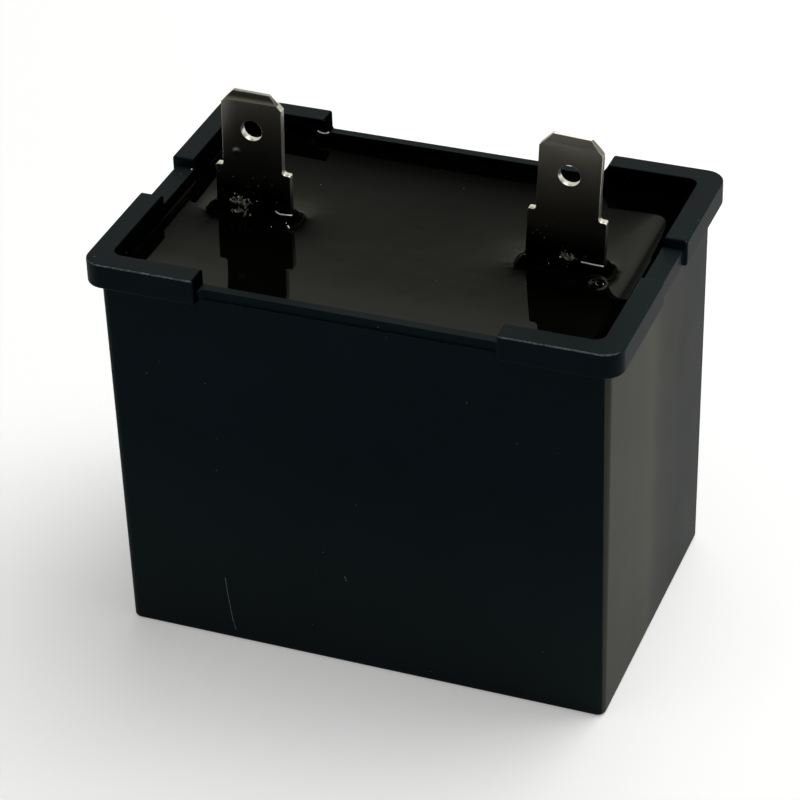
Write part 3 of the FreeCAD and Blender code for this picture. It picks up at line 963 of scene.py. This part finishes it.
# %% Painted glints on the collars, in the bubble and on the back wall
glint_lines = (
    ("glint_left", 0.07, glint_white, (
        ((-13.92, -0.72, 41.76), (-13.67, -0.79, 41.65), (-13.43, -0.84, 41.57),
         (-12.83, -0.78, 41.54), (-12.19, -0.61, 41.47)),
        ((-12.36, -1.40, 40.75), (-12.20, -1.55, 40.67), (-12.08, -1.72, 40.62)),
        ((-12.60, -1.23, 40.90), (-12.55, -1.25, 40.88)))),
    ("glint_right", 0.075, glint_white, (
        ((17.79, -0.78, 41.91), (18.87, -0.76, 41.83), (20.00, -0.69, 41.74)),
        ((20.30, -1.72, 40.68), (20.42, -1.95, 40.66), (20.52, -2.25, 40.64)),
        ((20.38, -1.80, 40.68), (20.56, -2.15, 40.66)))),
    # painted reflection: a thin grey line round the burst bubble, in the lint grey
    ("glint_ring", 0.04, lint_and_glint, (
        ((19.30, -1.75, 40.62), (18.98, -2.05, 40.62), (18.95, -2.50, 40.62),
         (19.15, -3.00, 40.60), (19.50, -3.30, 40.58)),
        ((19.62, -1.85, 40.60), (19.72, -2.15, 40.58), (19.98, -2.30, 40.56)))),
    ("glint_specks", 0.075, glint_white, (
        ((15.62, -0.74, 42.05), (15.76, -0.74, 42.03)),
        ((-15.99, -0.44, 42.34), (-15.95, -0.44, 42.34)),
        ((-24.82, 3.42, 42.34), (-24.74, 3.48, 42.34)),
        ((-13.92, -1.90, 40.60), (-13.86, -1.90, 40.60)))),
    ("glint_lens", 0.09, glint_white, (
        ((-15.92, 15.46, 42.02), (-15.60, 15.43, 41.90), (-15.20, 15.43, 41.86),
         (-14.90, 15.43, 41.93), (-14.69, 15.46, 42.08)),)),
)
for name, radius, material, runs in glint_lines:
    fine_lines(name, runs, radius, material)

# %% Crumbs at the feet and spatter on the tabs
crumbs("crumbs_left", (((-17.80, -0.50, 41.45), (0.85, 0.0, 0.95), 330, 0.11),
                       ((-17.85, -0.50, 41.60), (1.20, 0.0, 0.90), 50, 0.05)),
       resin_crumb)
crumbs("crumbs_right", (((16.60, -0.50, 41.75), (0.60, 0.0, 0.50), 170, 0.08),
                        ((16.00, -0.50, 42.10), (0.50, 0.0, 0.35), 60, 0.055),
                        ((14.40, -0.50, 41.35), (1.40, 0.0, 0.35), 18, 0.04)),
       resin_crumb)
spatter_half, spatter_low, spatter_rise = 3.6, 42.3, 3.4
spatter = [((tab_centre[side] + dice.uniform(-spatter_half, spatter_half), -0.42,
             spatter_low + spatter_rise * dice.random() ** 1.6), (0, 0, 0), 1,
            dice.uniform(0.018, 0.042)) for side in ("left", "right") for _ in range(30)]
crumbs("spatter", spatter, resin_crumb)

# %% [markdown]
# The front has one fine upright scratch and a small mark. A ray cast from the front finds the
# surface at each of their points, so they lie on the drafted wall and not in the air.

# %% A fine scratch and a mark on the front
def on_front(x, z):
    """The point of the case's front at a place across and a height."""
    return front_faces.ray_cast(Vector((x, -40.0, z)) * MM, Vector((0, 1, 0)))[0] / MM


case_shape = bmesh.new()
case_shape.from_mesh(moulded_case.data)
front_faces = BVHTree.FromBMesh(case_shape)
scratch_path = ((-14.6, 7.6), (-14.5, 6.2), (-14.3, 4.4), (-14.1, 2.6), (-13.8, 1.2))
mark_path = ((-1.50, 10.9), (-1.40, 10.75), (-1.38, 10.5), (-1.30, 10.4))
scratch, mark = ([on_front(*at) for at in path] for path in (scratch_path, mark_path))
case_shape.free()
mark_radius = 0.022
fine_lines("front_marks", (scratch, mark), mark_radius, lint_and_glint)

# %% [markdown]
# ## Dust
# A black part shows every speck of dust, on the rim, on the resin and on the front. The specks
# repeat over a surface at random, so Geometry Nodes scatter them: points on the faces, a tiny
# ball on each, squeezed flat, then real geometry and a material. The specks are pushed back
# inside the part's own box at the end, so that the size stays right.

# %% A tree that scatters specks
def speck_tree(material):
    """A Geometry Nodes tree that puts specks on the faces of what it is given."""
    tree = bpy.data.node_groups.new("specks", "GeometryNodeTree")
    for name, way, kind in (("Geometry", "INPUT", "Geometry"),
                            ("Specks per square metre", "INPUT", "Float"),
                            ("Speck radius", "INPUT", "Float"),
                            ("Geometry", "OUTPUT", "Geometry")):
        tree.interface.new_socket(name, in_out=way, socket_type="NodeSocket" + kind)
    given = add_node(tree, "NodeGroupInput").outputs
    points = add_node(tree, "GeometryNodeDistributePointsOnFaces", {
        "Mesh": given["Geometry"], "Density": given["Specks per square metre"], "Seed": 11})
    ball = add_node(tree, "GeometryNodeMeshIcoSphere", {
        "Radius": given["Speck radius"], "Subdivisions": 1})
    squeeze = add_node(tree, "FunctionNodeRandomValue", {
        "Min": (0.25, 0.25, 0.2), "Max": (1.6, 0.9, 0.5), "Seed": 5}, data_type="FLOAT_VECTOR")
    specks = add_node(tree, "GeometryNodeInstanceOnPoints", {
        "Points": points.outputs["Points"], "Instance": ball.outputs["Mesh"],
        "Rotation": points.outputs["Rotation"], "Scale": squeeze.outputs["Value"]})
    real = add_node(tree, "GeometryNodeRealizeInstances", {"Geometry": specks.outputs["Instances"]})
    finished = add_node(tree, "GeometryNodeSetMaterial", {
        "Geometry": real.outputs["Geometry"], "Material": material})
    add_node(tree, "NodeGroupOutput", {"Geometry": finished.outputs["Geometry"]})
    return tree


def scatter_specks(name, carrier, per_square_mm, radius):
    """A piece made of the specks that lie on another piece."""
    piece = link_object(name, carrier.data.copy(), lint_and_glint)
    settings = piece.modifiers.new("specks", "NODES")
    settings.node_group = specks_on_faces
    values = {"Specks per square metre": per_square_mm / MM ** 2, "Speck radius": radius * MM}
    for item in specks_on_faces.interface.items_tree:
        if item.name in values:
            settings[item.identifier] = values[item.name]
    plain_mesh(piece)
    corners = np.array(list(cad_box))
    points = np.empty(3 * len(piece.data.vertices))
    piece.data.vertices.foreach_get("co", points)
    points = np.clip(points.reshape(-1, 3), corners[0], corners[1])
    piece.data.vertices.foreach_set("co", points.ravel())
    piece.data.update()
    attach(piece, "root")
    print(name, "faces", len(piece.data.polygons))


specks_on_faces = speck_tree(lint_and_glint)
specks_per_square_mm, speck_radius = 0.012, 0.05
for name, carrier, slot in (("case_specks", moulded_case, "case_plastic"),
                            ("resin_specks", resin_fill, "resin")):
    scatter_specks(name, carrier, specks_per_square_mm, speck_radius)

# %% [markdown]
# ## Studio
# The part stands on a plain pale floor. A large soft light hangs behind it and to the right, so
# its front is in shade and its right side shines, and a second, weak one hangs high in front.
# The floor glows a little where the camera or a mirror sees it, and still keeps the shadow. The
# world is the rest of the studio: behind the part a pale wall, on the other sides only a pale
# strip at the horizon, and dark overhead. It is made from the height of a ray's direction,
# because glossy black plastic and resin show mostly what stands round them.

# %% Floor
floor_half = 1500.0
floor_lift = 0.28
floor_mottle = 60.0
floor_mesh = bpy.data.meshes.new("floor")
floor_mesh.from_pydata([(x * floor_half * MM, y * floor_half * MM, 0.0)
                        for x, y in ((-1, -1), (1, -1), (1, 1), (-1, 1))], [], [(0, 1, 2, 3)])
floor_paint, tree, shader, place = new_material(
    "paint_white_matte", Roughness=0.9, Specular_IOR_Level=0.1)
mottle = add_node(tree, "ShaderNodeTexNoise", {
    "Vector": place, "Scale": per_mm(floor_mottle), "Detail": 2.0})
colour = add_node(tree, "ShaderNodeMix", {
    "Factor": mottle.outputs["Fac"], "A": srgb("#f4f4f4"), "B": srgb("#f8f8f8")},
    data_type="RGBA")
tree.links.new(colour.outputs["Result"], shader.inputs["Base Color"])
shader.inputs["Emission Color"].default_value = (1.0, 1.0, 1.0, 1.0)
seen = add_node(tree, "ShaderNodeLightPath")
seen_or_mirrored = add_node(tree, "ShaderNodeMath", {
    0: seen.outputs["Is Camera Ray"], 1: seen.outputs["Is Glossy Ray"]}, operation="MAXIMUM")
seen_at_all = add_node(tree, "ShaderNodeMath", {
    0: seen_or_mirrored.outputs[0], 1: seen.outputs["Is Transmission Ray"]}, operation="MAXIMUM")
glow = add_node(tree, "ShaderNodeMath", {
    0: seen_at_all.outputs[0], 1: floor_lift}, operation="MULTIPLY")
tree.links.new(glow.outputs[0], shader.inputs["Emission Strength"])
floor = link_object("floor", floor_mesh, floor_paint)
print("floor", 2 * floor_half, "mm wide")

# %% World, by the height of the direction that a ray looks in
wall_direction, wall_starts, wall_full = (-0.30, 0.954, 0.0), 0.52, 0.80
warm_tint = (1.0, 1.0, 0.88, 1.0)
wall_stops = ((0.0, 0.85), (0.35, 1.0), (0.492, 1.0), (0.508, 0.60), (0.53, 0.34),
              (0.58, 0.16), (0.7, 0.05), (1.0, 0.05))
other_stops = ((0.0, 0.85), (0.12, 0.7), (0.25, 0.06), (1.0, 0.05))

world = bpy.data.worlds.new("studio")
bpy.context.scene.world = world
world.use_nodes = True
tree = world.node_tree
tree.nodes.clear()
direction = add_node(tree, "ShaderNodeTexCoord").outputs["Generated"]
height = add_node(tree, "ShaderNodeSeparateXYZ", {"Vector": direction}).outputs["Z"]
wall_ramp = add_node(tree, "ShaderNodeValToRGB", {"Fac": height})
fill_ramp(wall_ramp, wall_stops)
other_ramp = add_node(tree, "ShaderNodeValToRGB", {"Fac": height})
fill_ramp(other_ramp, other_stops)
behind = add_node(tree, "ShaderNodeVectorMath", {
    0: direction, 1: wall_direction}, operation="DOT_PRODUCT")
turn = add_node(tree, "ShaderNodeMapRange", {
    "Value": behind.outputs["Value"], "From Min": wall_starts, "From Max": wall_full},
    interpolation_type="SMOOTHSTEP")
sky = add_node(tree, "ShaderNodeMix", {
    "Factor": turn.outputs["Result"], "A": other_ramp.outputs["Color"],
    "B": wall_ramp.outputs["Color"]}, data_type="RGBA")
warm = add_node(tree, "ShaderNodeMix", {
    "Factor": 1.0, "A": sky.outputs["Result"], "B": warm_tint},
    data_type="RGBA", blend_type="MULTIPLY")
background = add_node(tree, "ShaderNodeBackground", {
    "Color": warm.outputs["Result"], "Strength": 1.0})
add_node(tree, "ShaderNodeOutputWorld", {"Surface": background.outputs["Background"]})
print("world nodes", len(tree.nodes))


# %% Soft lights
aim_height = 30.0


def soft_light(name, azimuth, elevation, distance, size, level):
    """Area light aimed at the part; level is the brightness it gives a white face turned to it."""
    around, up = math.radians(azimuth), math.radians(elevation)
    towards = Vector((math.sin(around) * math.cos(up), math.cos(around) * math.cos(up),
                      math.sin(up)))
    light = bpy.data.lights.new(name, "AREA")
    light.shape = "SQUARE"
    light.size = size * MM
    light.energy = level * (math.pi * distance * MM) ** 2
    lamp = bpy.data.objects.new(name, light)
    lamp.location = towards * distance * MM + Vector((0, 0, aim_height * MM))
    lamp.rotation_euler = towards.to_track_quat("Z", "Y").to_euler()
    bpy.context.scene.collection.objects.link(lamp)
    print(name, "energy", round(light.energy, 2))


soft_light("softbox", azimuth=40.0, elevation=60.0, distance=700.0, size=700.0, level=0.92)
soft_light("lamp", azimuth=200.0, elevation=72.0, distance=600.0, size=450.0, level=0.13)
